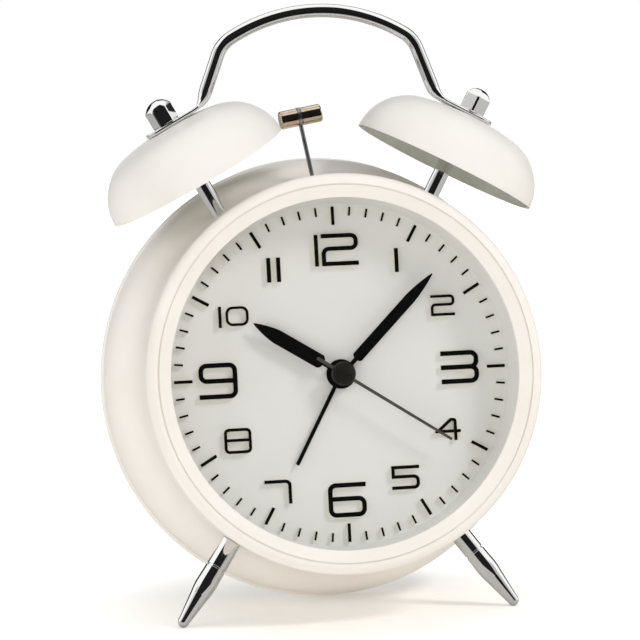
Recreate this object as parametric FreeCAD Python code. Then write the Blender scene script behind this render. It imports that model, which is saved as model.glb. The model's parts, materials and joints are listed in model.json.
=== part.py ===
import FreeCAD, Part
import math
import os
from FreeCAD import Placement, Rotation, Vector

# A twin-bell alarm clock. All sizes are millimetres and degrees.
# The drum is drawn in its own frame: its axis along Y, the dial towards -Y, the window's edge at y = 0.
# The bells, posts and handle are drawn upright, in the plane that stands vertical when the clock rests.

# Drum, bezel and dial
window_radius = 46.0
bezel_radius = 52.3
bezel_groove_radius = 49.3
neck_radius = 52.0
drum_radius = 59.7
neck_end = 17.0
flare_end = 44.0
sheet = 0.8
bead_radius = 1.5
bead_centre_radius = 58.9
bead_centre_depth = 46.4
rim_depth = 47.9
rim_bore = 57.9
rim_lip_depth = 45.3
spigot_radius = 51.3
spigot_bore = 50.5
spigot_front = 1.8
spigot_back = 5.6
bezel_wall = 0.9
seat_radius = 50.3
funnel_front_radius = 46.4
funnel_back_radius = 45.3
lamp_radius = 1.5
lamp_depth = 6.4
lamp_seat = 47.8
lens_front = 1.0
lens_thickness = 1.5
dial_front = 10.3
dial_thickness = 1.0
marker_height = 1.0
ink_thickness = 0.12
marker_outer_radius = 44.2
long_marker_half = 0.41
short_marker_half = 0.26

# Bells, posts and handle
bell_plane = 29.0
bell_centre_x = 33.6
bell_centre_z = 51.6
bell_splay = 28.5
bell_radius = 25.7
bell_height = 15.2
bell_wall = 0.9
crown_radius = 72.0
shoulder_radius = 14.3
post_radius = 2.2
stud_radius = 1.75
hole_gap = 0.1
post_foot = -13.0
tab_thickness = 1.1
tab_half_width = 3.7
tab_end = 6.4
dome_nut_height = 6.8
dome_nut_flats = 6.8
handle_top = 94.5
handle_rod_radius = 1.8
arch_radius = 45.0
arch_angle = 31.5
handle_shoulder_radius = 8.5
leg_angle = 69.4
leg_bend_radius = 8.0

# Feet
foot_length = 26.0
foot_tip_x = 45.2
foot_tip_y = 15.0
foot_tip_z = -63.9
foot_splay = 35.2
foot_lean = 7.0
foot_radius = 2.75
foot_tip_radius = 1.5
foot_groove_height = 18.0
foot_stud_radius = 1.5

# Striker: the hammer hangs on a pin and leans towards the left bell at rest
pivot_z = 36.5
hammer_depth = 21.5
hammer_lean = 9.6
hammer_reach = 33.4
hammer_radius = 2.4
hammer_left = 5.35
hammer_right = 6.0
arm_radius = 0.55
tail_length = 8.5
tail_half_width = 1.2
hammer_swing = 18.0
slot_half = 4.2
slot_gap = 1.3
motor_radius = 6.0
motor_length = 9.6
cam_radius = 1.6
cam_gap = 0.15
shaft_radius = 0.75
plate_front = 25.2
plate_rear = 26.4

# Hands: depth of each blade's back, and the clock angle that the photographed time gives
alarm_depth = 9.2
hour_depth = 8.0
minute_depth = 6.8
second_depth = 5.65
blade = 0.3
tip_half = 0.16
taper_fullness = 0.2
second_length = 33.7
second_tail = 7.7
cap_radius = 3.15
cap_side = 0.5
cap_bevel = 0.3
cap_rise = 0.35
alarm_angle = 209.0
hour_angle = 302.35
minute_angle = 45.2
second_angle = 123.7

# Movement: gear modules, wheel centres and running clearance
coarse = 0.5
fine = 0.4
cannon_teeth = 12
motion_teeth = 36
motion_pinion_teeth = 12
hour_teeth = 48
setting_teeth = 20
alarm_teeth = 60
alarm_setting_teeth = 24
knob_distance = 21.0
knob_angle = 19.47
running_gap = 0.06
movement_front = 12.3
movement_back = 22.3

# Rear cover, controls and cells
cover_front = 38.0
cover_back = 40.0
cover_radius = 57.6
cover_screw_ring = 53.2
cover_screw_angles = (0, 120, 240)
cover_screw_radius = 1.45
knob_radius = 7.5
knob_front = 41.0
knob_back = 47.0
cell_radius = 7.15
cell_length = 49.2
cell_low_z = -32.8
cell_high_z = -17.6
cell_depth = 31.3
tab_plate = 0.5
leaf_thickness = 0.4
light_travel = 0.9
plunger_end = 35.0
light_x = 22.0
control_z = 28.0
switch_x = -22.0

origin = Vector(0, 0, 0)
x_axis = Vector(1, 0, 0)
y_axis = Vector(0, 1, 0)
z_axis = Vector(0, 0, 1)

parts = {}
points = {}


def sin(angle):
    return math.sin(math.radians(angle))


def cos(angle):
    return math.cos(math.radians(angle))


# The two drawing planes: radius against depth, and left-right against height
def deep(point):
    return Vector(point[0], point[1], 0)


def upright(point):
    return Vector(point[0], 0, point[1])


# A closed face. Each step is the end of a line, or the middle and end of an arc.
def face(plane, start, *steps):
    edges = []
    here = start
    for step in steps + (start,):
        if isinstance(step[0], tuple):
            middle, end = step
            edges.append(Part.Arc(plane(here), plane(middle), plane(end)).toShape())
        else:
            end = step
            if (plane(end) - plane(here)).Length < 1e-6:
                continue
            edges.append(Part.makeLine(plane(here), plane(end)))
        here = end
    return Part.Face(Part.Wire(edges))


def outward(solid):
    return solid if solid.Volume > 0 else solid.reversed()


# Turned about the drum's axis, or about an upright axis
def turned(start, *steps):
    return outward(face(deep, start, *steps).revolve(origin, y_axis, 360))


def turned_up(start, *steps):
    return outward(face(upright, start, *steps).revolve(origin, z_axis, 360))


# A flat shape drawn as seen from the front, with its thickness along the drum's axis
def sheet_metal(y0, y1, start, *steps):
    solid = face(upright, start, *steps).extrude(Vector(0, y1 - y0, 0))
    solid.translate(Vector(0, y0, 0))
    return outward(solid)


def rod(radius, y0, y1, x=0.0, z=0.0):
    return Part.makeCylinder(radius, y1 - y0, Vector(x, y0, z), y_axis)


def tube(outer, inner, y0, y1, x=0.0, z=0.0):
    return rod(outer, y0, y1, x, z).cut(rod(inner, y0 - 1, y1 + 1, x, z))


def block(x0, x1, y0, y1, z0, z1):
    return Part.makeBox(x1 - x0, y1 - y0, z1 - z0, Vector(x0, y0, z0))


def hex_prism(flats, z0, z1):
    corner = flats / 2 / cos(30)
    ring = [Vector(corner * cos(60 * k), corner * sin(60 * k), z0) for k in range(7)]
    return outward(Part.Face(Part.makePolygon(ring)).extrude(Vector(0, 0, z1 - z0)))


def joined(solids):
    whole = solids[0].multiFuse(solids[1:]) if len(solids) > 1 else solids[0]
    return whole.removeSplitter()


def group(solids):
    return Part.makeCompound(solids)


def mirrored(shape):
    return shape.mirror(origin, x_axis)


# Clock angle runs clockwise from 12, seen from the front
def on_dial(radius, clock_angle):
    return radius * sin(clock_angle), radius * cos(clock_angle)


def turn_on_dial(shape, clock_angle):
    turned_shape = shape.copy()
    turned_shape.rotate(origin, y_axis, clock_angle)
    return turned_shape


# Where the drum's flare is: two equal arcs, one hollow and one full, moved in by a wall's thickness
rise = drum_radius - neck_radius
run = flare_end - neck_end
flare_turn = 2 * math.degrees(math.atan2(rise, run))
flare_radius = run / 2 / sin(flare_turn)


def flare(inset):
    hollow = flare_radius + inset
    full = flare_radius - inset
    hollow_centre = (neck_radius + flare_radius, neck_end)
    full_centre = (drum_radius - flare_radius, flare_end)
    half = flare_turn / 2
    first = (hollow_centre[0] - hollow * cos(half), hollow_centre[1] + hollow * sin(half))
    waist = (hollow_centre[0] - hollow * cos(flare_turn), hollow_centre[1] + hollow * sin(flare_turn))
    second = (full_centre[0] + full * cos(half), full_centre[1] - full * sin(half))
    start = (neck_radius - inset, neck_end)
    end = (drum_radius - inset, flare_end)
    return start, (first, waist), (second, end)


# The lean that rests the feet's tips and the rear bead on one floor
def resting_lean():
    tip_y = foot_tip_y + foot_tip_radius * sin(foot_lean)
    tip_z = foot_tip_z + foot_tip_radius * cos(foot_lean) * cos(foot_splay)
    apart = bead_centre_depth - tip_y
    lower = -bead_centre_radius - tip_z
    spare = foot_tip_radius - bead_radius
    return math.degrees(math.atan2(lower, apart) + math.asin(spare / math.hypot(apart, lower)))


lean = resting_lean()
leaning = Placement(origin, Rotation(x_axis, -lean))


def stand(shape):
    placed = shape.copy()
    placed.Placement = leaning.multiply(placed.Placement)
    return placed


def stand_point(x, y, z):
    return leaning.multVec(Vector(x, y, z))


# Solids of the drum's outer and inner surfaces, used to trim what meets them
def drum_solid(inset, back):
    start, hollow, full = flare(inset)
    return turned((0, 2), (start[0], 2), start, hollow, full, (drum_radius - inset, back), (0, back))


drum_outside = drum_solid(0, bead_centre_depth)
drum_inside = drum_solid(sheet, bead_centre_depth)

# Places of the bells and feet
bell_place = Placement(Vector(bell_centre_x, bell_plane, bell_centre_z), Rotation(y_axis, bell_splay))
foot_axis = Vector(-sin(foot_splay) * cos(foot_lean), sin(foot_lean), cos(foot_splay) * cos(foot_lean))
foot_place = Placement(Vector(foot_tip_x, foot_tip_y, foot_tip_z), Rotation(z_axis, foot_axis))


def at_bell(shape):
    placed = shape.copy()
    placed.Placement = bell_place.multiply(placed.Placement)
    return placed


def at_foot(shape):
    placed = shape.copy()
    placed.Placement = leaning.multiply(foot_place).multiply(placed.Placement)
    return placed


hammer_slot = block(-slot_half, slot_half, hammer_depth - slot_gap, hammer_depth + slot_gap, 40, 60)


def case_shell():
    outer_start, outer_hollow, outer_full = flare(0)
    inner_start, inner_hollow, inner_full = flare(sheet)
    step = math.sqrt(bead_radius ** 2 - (drum_radius - bead_centre_radius) ** 2)
    inner_flare = (
        inner_full[1],
        (inner_full[0], inner_hollow[1]),
        (inner_hollow[0], inner_start),
    )
    shell = turned(
        (spigot_radius, spigot_front),
        (spigot_radius, spigot_back),
        (neck_radius, spigot_back),
        outer_start,
        outer_hollow,
        outer_full,
        (drum_radius, bead_centre_depth - step),
        ((bead_centre_radius + bead_radius, bead_centre_depth), (bead_centre_radius, rim_depth)),
        (rim_bore, rim_depth),
        (rim_bore, rim_lip_depth),
        *inner_flare,
        (neck_radius - sheet, spigot_back + sheet),
        (spigot_bore, spigot_back + sheet),
        (spigot_bore, spigot_front),
    )
    shell = stand(shell.cut(hammer_slot))
    post_hole = at_bell(Part.makeCylinder(stud_radius + hole_gap, 20, Vector(0, 0, post_foot - 8)))
    foot_hole = at_foot(Part.makeCylinder(foot_stud_radius + hole_gap, 20, Vector(0, 0, foot_length - 10)))
    for hole in (post_hole, foot_hole):
        shell = shell.cut(hole).cut(mirrored(hole))
    return shell


def cover_lugs():
    lugs = []
    for angle in cover_screw_angles:
        lug = block(-4.5, 4.5, cover_front - 1.5, cover_front, 49.0, 60).common(drum_inside)
        lug = lug.cut(rod(cover_screw_radius, 30, 45, 0, cover_screw_ring))
        lugs.append(stand(turn_on_dial(lug, angle)))
    return group(lugs)


def bezel_ring():
    inner_side = bezel_groove_radius - 0.2
    outer_side = bezel_groove_radius + 0.2
    bore = bezel_radius - bezel_wall
    return stand(turned(
        (window_radius, 0),
        (inner_side, -1.33),
        (inner_side, -0.95),
        (outer_side, -0.95),
        (outer_side, -1.4),
        ((51.5, -0.55), (bezel_radius, 2.0)),
        (bezel_radius, 5.0),
        (bezel_radius - 0.3, 5.4),
        (bore, 5.4),
        (bore, lens_front),
        (window_radius, lens_front),
    ))


def dial_lens():
    back = lens_front + lens_thickness
    return stand(rod(seat_radius, lens_front, back))


led_angles = (-18, 18)


def dial_surround():
    front = lens_front + lens_thickness
    ring = turned(
        (funnel_front_radius, front),
        (seat_radius, front),
        (seat_radius, dial_front),
        (funnel_back_radius, dial_front),
    )
    for angle in led_angles:
        pocket = Part.makeCylinder(lamp_radius + hole_gap, 4, Vector(0, lamp_depth, lamp_seat))
        ring = ring.cut(turn_on_dial(pocket, angle))
    return stand(ring)


def backlight_leds():
    lamps = []
    for angle in led_angles:
        base = Part.makeCylinder(lamp_radius, 1.3, Vector(0, lamp_depth, lamp_seat + 0.6))
        dome = Part.makeSphere(lamp_radius, Vector(0, lamp_depth, lamp_seat + 1.4))
        body = base.fuse(dome).common(block(-2, 2, 4, 9, lamp_seat, lamp_seat + 2.2))
        lamps.append(stand(turn_on_dial(body, angle)))
    return group(lamps)


boss_x = 32.5
boss_z = 2.0
ear_front = 14.3
ear_back = 15.8
ear_screw_radius = 0.9


def dial_plate():
    plate = tube(51.0, 3.65, dial_front, dial_front + dial_thickness)
    for x in (-boss_x, boss_x):
        boss = rod(2.4, dial_front + 0.5, ear_front, x, boss_z)
        plate = plate.fuse(boss).cut(rod(ear_screw_radius, dial_front + dial_thickness, 15, x, boss_z))
    return stand(plate)


def dial_retaining_ring():
    return stand(tube(neck_radius - sheet, 47.5, dial_front + dial_thickness, 12.5))


# One side of a stroke with rounded corners, offset to the left of its path
def stroke_side(path, offset, corner):
    run_out = []
    steps = []
    for a, b in zip(path, path[1:]):
        length = math.hypot(b[0] - a[0], b[1] - a[1])
        steps.append(((b[0] - a[0]) / length, (b[1] - a[1]) / length))
    left = [(-d[1], d[0]) for d in steps]
    run_out.append((path[0][0] + left[0][0] * offset, path[0][1] + left[0][1] * offset))
    for k in range(1, len(path) - 1):
        before, after = steps[k - 1], steps[k]
        crossed = before[0] * after[1] - before[1] * after[0]
        turn = math.atan2(crossed, before[0] * after[0] + before[1] * after[1])
        sign = 1 if turn > 0 else -1
        back = corner * math.tan(abs(turn) / 2)
        centre = (
            path[k][0] - before[0] * back + left[k - 1][0] * sign * corner,
            path[k][1] - before[1] * back + left[k - 1][1] * sign * corner,
        )
        radius = corner - sign * offset
        middle = (-(left[k - 1][0] + left[k][0]) * sign, -(left[k - 1][1] + left[k][1]) * sign)
        size = math.hypot(*middle)
        arc = []
        for way in ((-left[k - 1][0] * sign, -left[k - 1][1] * sign), (middle[0] / size, middle[1] / size),
                    (-left[k][0] * sign, -left[k][1] * sign)):
            arc.append((centre[0] + way[0] * radius, centre[1] + way[1] * radius))
        run_out.append(arc[0])
        run_out.append((arc[1], arc[2]))
    run_out.append((path[-1][0] + left[-1][0] * offset, path[-1][1] + left[-1][1] * offset))
    return run_out


# A stroke's square ends reach half its width past the ends of its path
def lengthened(path, extra):
    ends = []
    for end, inner in ((path[0], path[1]), (path[-1], path[-2])):
        share = extra / math.hypot(end[0] - inner[0], end[1] - inner[1])
        ends.append((end[0] + (end[0] - inner[0]) * share, end[1] + (end[1] - inner[1]) * share))
    return [ends[0]] + list(path[1:-1]) + [ends[1]]


def stroke(path, width, corner, y0, y1):
    path = lengthened(path, width / 2)
    outline = stroke_side(path, width / 2, corner) + stroke_side(path[::-1], width / 2, corner)
    return sheet_metal(y0, y1, *outline)


# Each digit's strokes on a square from (0, 0) to (1, 1), along the middle of the line
glyphs = {
    "0": [[(0.5, 1), (0, 1), (0, 0), (0.5, 0)], [(0.5, 0), (1, 0), (1, 1), (0.5, 1)]],
    "1": [[(0.5, 0), (0.5, 1)]],
    "2": [[(0, 1), (1, 1), (1, 0.54), (0, 0.54), (0, 0)], [(0, 0), (1, 0)]],
    "3": [[(0, 1), (1, 1), (1, 0.5), (0, 0.5)], [(0, 0.5), (1, 0.5), (1, 0), (0, 0)]],
    "4": [[(0.83, 0), (0.83, 1), (0.64, 1), (0.06, 0.42)], [(0, 0.4), (1, 0.4)]],
    "5": [[(1, 1), (0, 1)], [(0, 1), (0, 0.54)], [(0, 0.54), (1, 0.54), (1, 0), (0, 0)]],
    "6": [[(1, 1), (0, 1), (0, 0), (0.5, 0)], [(0.5, 0), (1, 0), (1, 0.54), (0, 0.54)]],
    "7": [[(0, 1), (1, 1), (1, 0)]],
    "8": [[(0.5, 1), (0, 1), (0, 0), (0.5, 0)], [(0.5, 0), (1, 0), (1, 1), (0.5, 1)], [(0, 0.53), (1, 0.53)]],
    "9": [[(0.5, 0.5), (0, 0.5), (0, 1), (0.5, 1)], [(0.5, 1), (1, 1), (1, 0), (0, 0)], [(0.5, 0.5), (1, 0.5)]],
}

# The middle of a stroke turns its corners at this many line widths
usual_corner = 1.25
corners = {"0": 2.2, "4": 0.6}

# From 12 round to 11: digit, left edge, bottom edge, width, height and line width, from the dial's centre
digits = (
    ("1", -5.33, 28.55, 1.0, 8.35, 1.0),
    ("2", -3.44, 28.55, 9.82, 8.5, 1.12),
    ("1", 15.95, 26.14, 1.04, 6.37, 1.04),
    ("2", 25.02, 14.01, 6.5, 5.56, 0.72),
    ("3", 26.9, -4.15, 10.2, 8.72, 1.25),
    ("4", 24.44, -19.05, 6.9, 5.9, 0.82),
    ("5", 12.05, -31.26, 7.5, 6.27, 0.88),
    ("6", -5.16, -37.66, 10.16, 9.03, 1.2),
    ("7", -21.83, -33.23, 7.11, 6.35, 0.88),
    ("8", -31.84, -19.4, 7.24, 6.62, 0.78),
    ("9", -37.7, -4.88, 10.2, 9.4, 1.22),
    ("1", -31.68, 13.64, 0.8, 5.58, 0.8),
    ("0", -29.77, 13.98, 6.07, 5.11, 0.68),
    ("1", -18.28, 24.95, 1.08, 6.45, 1.08),
    ("1", -15.66, 24.95, 1.08, 6.45, 1.08),
)


def numeral(name, left, bottom, width, height, line, y0, y1):
    solids = []
    for path in glyphs[name]:
        placed = []
        for u, v in path:
            placed.append((left + line / 2 + u * (width - line), bottom + line / 2 + v * (height - line)))
        solids.append(stroke(placed, line, corners.get(name, usual_corner) * line, y0, y1))
    return joined(solids)


def numerals(y0, y1):
    return stand(group([numeral(*digit, y0, y1) for digit in digits]))


def markers(y0, y1):
    solids = []
    for minute in range(60):
        half, inner = (long_marker_half, 39.35) if minute % 5 == 0 else (short_marker_half, 41.85)
        solids.append(turn_on_dial(block(-half, half, y0, y1, inner, marker_outer_radius), 6 * minute))
    return stand(group(solids))


# Bells, and what holds them
def crown_and_shoulder(inset):
    rim = bell_radius - inset
    apex = bell_height - inset
    shoulder = shoulder_radius - inset
    crown = crown_radius - inset
    shoulder_r = bell_radius - shoulder_radius
    crown_z = bell_height - crown_radius
    shoulder_z = crown_z + math.sqrt((crown_radius - shoulder_radius) ** 2 - shoulder_r ** 2)
    tangent = math.degrees(math.atan2(shoulder_z - crown_z, shoulder_r))
    half = tangent / 2
    halfway = (tangent + 90) / 2
    meet = (crown * cos(tangent), crown_z + crown * sin(tangent))
    return turned_up(
        (0, -1 if inset else 0),
        (rim, -1 if inset else 0),
        (rim, shoulder_z),
        ((shoulder_r + shoulder * cos(half), shoulder_z + shoulder * sin(half)), meet),
        ((crown * cos(halfway), crown_z + crown * sin(halfway)), (0, apex)),
    )


def bell():
    dome = crown_and_shoulder(0).cut(crown_and_shoulder(bell_wall))
    return at_bell(dome.cut(Part.makeCylinder(stud_radius + 0.05, 30)))


def bell_post():
    top = bell_height - bell_wall - 0.04
    body = Part.makeCylinder(post_radius, top - post_foot, Vector(0, 0, post_foot))
    body = at_bell(body).cut(stand(drum_outside))
    stud = Part.makeCylinder(stud_radius, bell_height + 5.0 - post_foot + 5.5, Vector(0, 0, post_foot - 5.5))
    return joined([body, at_bell(stud)])


def post_lock_nut():
    nut = hex_prism(6.0, -18.2, -15.8).cut(Part.makeCylinder(stud_radius, 30, Vector(0, 0, -30)))
    return at_bell(nut).common(stand(drum_inside))


def dome_nut():
    bottom = bell_height + tab_thickness
    top = bottom + dome_nut_height
    round_radius = dome_nut_flats / 2 - 0.1
    body = hex_prism(dome_nut_flats, bottom, top)
    envelope = turned_up(
        (0, bottom),
        (3.6, bottom),
        (3.95, bottom + 0.3),
        (3.95, top - round_radius - 0.2),
        (round_radius, top - round_radius + 0.35),
        ((round_radius * 0.72, top - round_radius * 0.3), (0, top)),
    )
    bore = Part.makeCylinder(stud_radius, 4.2, Vector(0, 0, bottom - 0.1))
    return at_bell(body.common(envelope).cut(bore))


# Handle: a bent rod whose ends are pressed flat into tabs on the bells
def handle_section(centre, along, half_width, half_thickness):
    across = Vector(along.z, 0, -along.x)
    ellipse = Part.Ellipse(centre + y_axis * half_width, centre + across * half_thickness, centre)
    return Part.Wire(ellipse.toShape())


def carry_handle():
    arch_centre = (0, handle_top - arch_radius)
    inner = arch_radius - handle_shoulder_radius
    shoulder_centre = (inner * sin(arch_angle), arch_centre[1] + inner * cos(arch_angle))
    arch_end = (arch_radius * sin(arch_angle), arch_centre[1] + arch_radius * cos(arch_angle))
    middle_angle = (arch_angle + leg_angle) / 2

    def on_shoulder(angle):
        return (
            shoulder_centre[0] + handle_shoulder_radius * sin(angle),
            shoulder_centre[1] + handle_shoulder_radius * cos(angle),
        )

    leg_top = on_shoulder(leg_angle)
    leg_way = (cos(leg_angle), -sin(leg_angle))
    tab_way = (cos(bell_splay), -sin(bell_splay))
    tab_height = bell_height + tab_thickness / 2
    tab_centre = (bell_centre_x + tab_height * sin(bell_splay), bell_centre_z + tab_height * cos(bell_splay))
    apart = (tab_centre[0] - leg_top[0], tab_centre[1] - leg_top[1])
    cross = leg_way[0] * tab_way[1] - leg_way[1] * tab_way[0]
    leg_run = (apart[0] * tab_way[1] - apart[1] * tab_way[0]) / cross
    corner = (leg_top[0] + leg_way[0] * leg_run, leg_top[1] + leg_way[1] * leg_run)
    bend = leg_angle - bell_splay
    back = leg_bend_radius * math.tan(math.radians(bend / 2))
    bend_start = (corner[0] - leg_way[0] * back, corner[1] - leg_way[1] * back)
    bend_end = (corner[0] + tab_way[0] * back, corner[1] + tab_way[1] * back)
    bend_centre = (
        bend_start[0] + leg_bend_radius * sin(leg_angle),
        bend_start[1] + leg_bend_radius * cos(leg_angle),
    )
    bend_angle = (leg_angle + bell_splay) / 2
    bend_middle = (
        bend_centre[0] - leg_bend_radius * sin(bend_angle),
        bend_centre[1] - leg_bend_radius * cos(bend_angle),
    )

    def line(a, b):
        return Part.makeLine(upright(a), upright(b))

    def arc(a, b, c):
        return Part.Arc(upright(a), upright(b), upright(c)).toShape()

    def flip(point):
        return (-point[0], point[1])

    middle = on_shoulder(middle_angle)
    path = Part.Wire([
        line(flip(bend_start), flip(leg_top)),
        arc(flip(leg_top), flip(middle), flip(arch_end)),
        arc(flip(arch_end), (0, handle_top), arch_end),
        arc(arch_end, middle, leg_top),
        line(leg_top, bend_start),
    ])
    section = Part.Wire(Part.makeCircle(
        handle_rod_radius, upright(flip(bend_start)), upright((leg_way[0], -leg_way[1]))
    ))
    bow = outward(path.makePipeShell([section], True, False))
    # The rod flattens round the bend: four sections, from just inside the rod to inside the flat tab
    inside_rod = handle_rod_radius - 0.03
    loft_start = (bend_start[0] - leg_way[0] * 0.4, bend_start[1] - leg_way[1] * 0.4)
    tab_start = (tab_centre[0] - tab_way[0] * 5.0, tab_centre[1] - tab_way[1] * 5.0)
    sections = [
        handle_section(upright(loft_start), upright(leg_way), inside_rod + 0.01, inside_rod),
        handle_section(upright(bend_middle), upright((cos(bend_angle), -sin(bend_angle))), 2.2, 1.4),
        handle_section(upright(bend_end), upright(tab_way), 3.0, 0.85),
        handle_section(upright(tab_start), upright(tab_way), tab_half_width, tab_thickness / 2 - 0.08),
    ]
    arm = outward(Part.makeLoft(sections, True, False))
    # The tab is drawn flat about the post's axis, then placed on the bell
    half_width = tab_half_width - 0.2
    end_centre = tab_end - half_width
    inner_end = -5.9
    flat = Part.Face(Part.Wire([
        Part.makeLine(Vector(inner_end, -half_width, 0), Vector(end_centre, -half_width, 0)),
        Part.Arc(
            Vector(end_centre, -half_width, 0),
            Vector(tab_end, 0, 0),
            Vector(end_centre, half_width, 0),
        ).toShape(),
        Part.makeLine(Vector(end_centre, half_width, 0), Vector(inner_end, half_width, 0)),
        Part.makeLine(Vector(inner_end, half_width, 0), Vector(inner_end, -half_width, 0)),
    ]))
    tab = outward(flat.extrude(Vector(0, 0, tab_thickness)))
    tab.translate(Vector(0, 0, bell_height))
    bow.translate(Vector(0, bell_plane, 0))
    arm.translate(Vector(0, bell_plane, 0))
    end = arm.fuse(at_bell(tab)).cut(at_bell(Part.makeCylinder(stud_radius + 0.05, 40)))
    end = end.cut(at_bell(crown_and_shoulder(0)))
    return bow.fuse(end).fuse(mirrored(end))


# Feet
def foot():
    groove = foot_groove_height
    body = turned_up(
        (0, 0),
        ((foot_tip_radius * sin(45), foot_tip_radius * (1 - cos(45))), (foot_tip_radius, foot_tip_radius)),
        (2.5, 9.6),
        ((2.82, 12.0), (2.85, 14.2)),
        (foot_radius, groove - 0.3),
        (foot_radius - 0.25, groove - 0.2),
        (foot_radius - 0.25, groove + 0.2),
        (foot_radius, groove + 0.3),
        (foot_radius, foot_length),
        (0, foot_length),
    )
    body = at_foot(body).cut(stand(drum_outside))
    stud = Part.makeCylinder(foot_stud_radius, 6.0, Vector(0, 0, foot_length - 1.5))
    return joined([body, at_foot(stud)])


def foot_lock_nut():
    nut = hex_prism(5.5, foot_length + 0.9, foot_length + 3.1)
    nut = nut.cut(Part.makeCylinder(foot_stud_radius, 12, Vector(0, 0, foot_length - 2)))
    return at_foot(nut).common(stand(drum_inside))


# Striker
def at_hammer(shape):
    placed = shape.copy()
    placed.rotate(origin, y_axis, -hammer_lean)
    placed.translate(Vector(0, hammer_depth, pivot_z))
    return stand(placed)


def hammer_head():
    body = face(
        lambda p: Vector(p[1], p[0], 0),
        (0, -hammer_left),
        (hammer_radius - 0.3, -hammer_left),
        (hammer_radius, -hammer_left + 0.3),
        (hammer_radius, -0.6),
        (hammer_radius - 0.35, -0.5),
        (hammer_radius - 0.35, 0.5),
        (hammer_radius, 0.6),
        (hammer_radius, hammer_right - 0.3),
        (hammer_radius - 0.3, hammer_right),
        (0, hammer_right),
    ).revolve(origin, x_axis, 360)
    body = outward(body)
    body.translate(Vector(0, 0, hammer_reach))
    return at_hammer(body)


def hammer_arm():
    groove = hammer_radius - 0.35
    wire = Part.makeCylinder(arm_radius, hammer_reach - groove - 0.4 - 4.0, Vector(0, 0, 4.0))
    loop = Part.makeCylinder(groove + 0.45, 0.9, Vector(-0.45, 0, hammer_reach), x_axis)
    loop = loop.cut(Part.makeCylinder(groove, 2, Vector(-1, 0, hammer_reach), x_axis))
    neck = Part.makeCylinder(0.45, 1.4, Vector(0, 0, hammer_reach - groove - 1.2))
    neck = neck.cut(Part.makeCylinder(groove + 0.2, 2, Vector(-1, 0, hammer_reach), x_axis))
    return at_hammer(joined([wire, neck, loop]))


def hammer_rocker():
    hub = rod(3.0, -2.6, 2.5)
    boss = block(-1.6, 1.6, -1.6, 1.6, 2.0, 8.0)
    tail = block(-tail_half_width, tail_half_width, -1.2, 1.2, -tail_length - 1.4, -2.0)
    body = joined([hub, boss, tail]).cut(rod(1.0 + running_gap, -5, 5))
    return at_hammer(body.cut(Part.makeCylinder(arm_radius, 6, Vector(0, 0, 4.0))))


def hammer_pivot_pin():
    shank = rod(1.0, 18.2, plate_rear, 0, pivot_z)
    return stand(shank.fuse(rod(1.8, 17.6, 18.2, 0, pivot_z)))


# The cam's pin clears the far-swung tail from above and below, and just reaches the resting tail from the side
tail_rest_x = tail_length * sin(hammer_lean) - tail_half_width
tail_far_x = -tail_length * sin(hammer_swing - hammer_lean) - tail_half_width
motor_x = tail_far_x - cam_gap - cam_radius
cam_throw = tail_rest_x - cam_gap - cam_radius - motor_x
cam_z = pivot_z - tail_length * cos(hammer_lean)
cam_front = 23.0
cam_back = 24.4
stand_off_x = 10.0
stand_off_z = 17.5


def striker_bracket():
    plate = block(-13, 13, plate_front, plate_rear, 14.5, 45)
    plate = plate.cut(rod(1.0, 20, 30, 0, pivot_z)).cut(rod(2.05, 20, 30, motor_x, cam_z))
    for x in (-stand_off_x, stand_off_x):
        plate = plate.cut(rod(1.1, 20, 30, x, stand_off_z))
    return stand(plate)


def bracket_spacers():
    return group([
        stand(tube(2.2, 1.1, movement_back, plate_front, x, stand_off_z)) for x in (-stand_off_x, stand_off_x)
    ])


def pan_screw(radius, head, y_tip, y_seat, x, z):
    shank = rod(radius, y_tip, y_seat, x, z)
    cap = rod(head, y_seat, y_seat + 1.2, x, z)
    slot = block(x - head, x + head, y_seat + 0.7, y_seat + 2, z - 0.3, z + 0.3)
    cross = block(x - 0.3, x + 0.3, y_seat + 0.7, y_seat + 2, z - head * 0.6, z + head * 0.6)
    return shank.fuse(cap).cut(slot.common(rod(head * 0.6, 0, 60, x, z))).cut(cross)


def bracket_screws():
    return group([
        stand(pan_screw(1.0, 2.0, movement_back - 2.4, plate_rear, x, stand_off_z))
        for x in (-stand_off_x, stand_off_x)
    ])


def striker_motor():
    back = plate_rear + motor_length
    can = rod(motor_radius, plate_rear, back, motor_x, cam_z)
    bearing = rod(2.0, plate_front, back + 0.8, motor_x, cam_z)
    return stand(joined([can, bearing]).cut(rod(shaft_radius + running_gap, 20, back + 0.2, motor_x, cam_z)))


def motor_shaft():
    return stand(rod(shaft_radius, cam_front - 0.1, plate_rear + motor_length + 0.1, motor_x, cam_z))


def motor_cam():
    pin = rod(cam_radius, 20.0, cam_back, motor_x, cam_z + cam_throw)
    hub = rod(cam_radius, cam_front, cam_back, motor_x, cam_z)
    web = block(motor_x - 1.2, motor_x + 1.2, cam_front, cam_back, cam_z, cam_z + cam_throw)
    return stand(joined([pin, hub, web]).cut(rod(shaft_radius, 18, 26, motor_x, cam_z)))


# Movement: toothed wheels are polygons with slim teeth, so that a mesh never touches
def wheel(teeth, module, y0, y1, x=0.0, z=0.0, tooth_angle=0.0):
    pitch = 360 / teeth
    root = module * (teeth / 2 - 1.25)
    tip = module * (teeth / 2 + 0.8)
    ring = []
    for k in range(teeth):
        for radius, share in ((root, -0.3), (tip, -0.11), (tip, 0.11), (root, 0.3)):
            angle = tooth_angle + (k + share) * pitch
            ring.append(Vector(x + radius * cos(angle), y0, z + radius * sin(angle)))
    return outward(Part.Face(Part.makePolygon(ring + ring[:1])).extrude(Vector(0, y1 - y0, 0)))


# The angle of one tooth of a wheel that meets another along a line at the given angle
def meshing(other_tooth, other_teeth, teeth, line_angle):
    return line_angle + 180 - (other_tooth - line_angle) * other_teeth / teeth + 180 / teeth


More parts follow.
